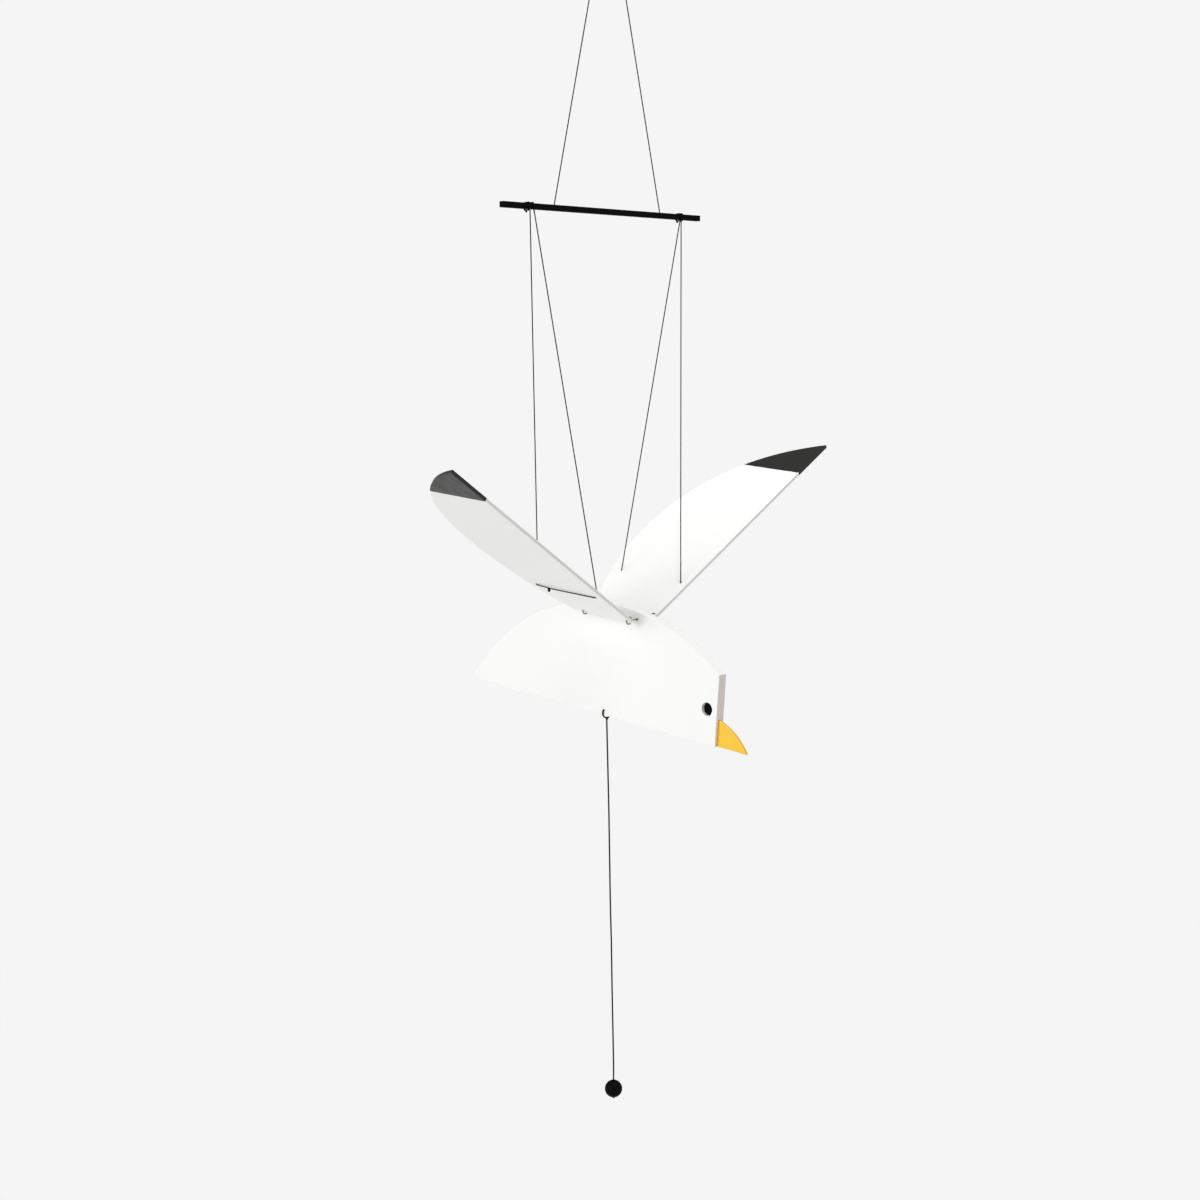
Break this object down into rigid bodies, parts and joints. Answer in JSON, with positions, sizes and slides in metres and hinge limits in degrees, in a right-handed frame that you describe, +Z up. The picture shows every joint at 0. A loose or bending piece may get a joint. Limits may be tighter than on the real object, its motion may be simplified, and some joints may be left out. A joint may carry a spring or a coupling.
{
  "type": "hanging gull mobile",
  "caption": "Wooden gull mobile: a crossbar hangs a flat gull by its hinged wings, and a pull cord with a ball makes them flap.",
  "frame": {"origin": "inside top of the hanging loop, where a hook or pin would carry it", "axes": "+Z up along the hanging line, +X towards the beak, +Y to the gull's left wing"},
  "size_m": [0.3308, 0.469, 1.0817],
  "materials": {
    "white_wood": "smooth satin white paint on thin board, black painted wing tips",
    "black_wood": "matt black paint",
    "yellow_wood": "satin yellow paint",
    "black_cord": "black twisted thread",
    "brass_wire": "bright brass wire"
  },
  "bodies": {
    "hanger": {"crossbar": "black_wood", "hanging_cord": "black_cord", "right_wing_cord_hitch": "black_cord", "left_wing_cord_hitch": "black_cord"},
    "bird": {"gull_body": "white_wood", "gull_eye": "black_wood", "gull_beak": "yellow_wood", "right_front_hinge": "brass_wire", "right_rear_hinge": "brass_wire", "left_front_hinge": "brass_wire", "left_rear_hinge": "brass_wire", "pull_cord": "black_cord", "pull_ball": "black_wood"},
    "right_flapper": {"right_wing": "white_wood", "right_wing_cord_underside": "black_cord"},
    "left_flapper": {"left_wing": "white_wood", "left_wing_cord_underside": "black_cord"},
    "right_cord_pair": {"right_wing_cord_front": "black_cord", "right_wing_cord_rear": "black_cord"},
    "left_cord_pair": {"left_wing_cord_front": "black_cord", "left_wing_cord_rear": "black_cord"}
  },
  "joints": [
    {"name": "bird_bob", "type": "slide", "parent": "hanger", "child": "bird", "axis": [0, 0, 1], "range_m": [-0.0107, 0.0107], "stiffness_N_per_m": 60, "springref_m": -0.00056},
    {"name": "right_wing_flap", "type": "hinge", "parent": "bird", "child": "right_flapper", "pos_m": [0, -0.015, -0.6275], "axis": [-0.9976, 0, 0.0698], "range_deg": [-18.2, 18.2]},
    {"name": "left_wing_flap", "type": "hinge", "parent": "bird", "child": "left_flapper", "pos_m": [0, 0.015, -0.6275], "axis": [0.9976, 0, -0.0698], "range_deg": [-18.2, 18.2]},
    {"name": "right_cord_swing", "type": "hinge", "parent": "right_flapper", "child": "right_cord_pair", "pos_m": [0.03767, -0.05318, -0.60349], "axis": [-0.9976, 0, 0.0698], "range_deg": [-19.8, 19.8]},
    {"name": "left_cord_swing", "type": "hinge", "parent": "left_flapper", "child": "left_cord_pair", "pos_m": [0.03767, 0.05318, -0.60349], "axis": [0.9976, 0, -0.0698], "range_deg": [-19.8, 19.8]}
  ],
  "couplings": [
    {"joint": "right_wing_flap", "follows": "bird_bob", "rad_per_m": -29.18},
    {"joint": "left_wing_flap", "follows": "bird_bob", "rad_per_m": -29.18},
    {"joint": "right_cord_swing", "follows": "bird_bob", "rad_per_m": 31.61},
    {"joint": "left_cord_swing", "follows": "bird_bob", "rad_per_m": 31.61}
  ]
}
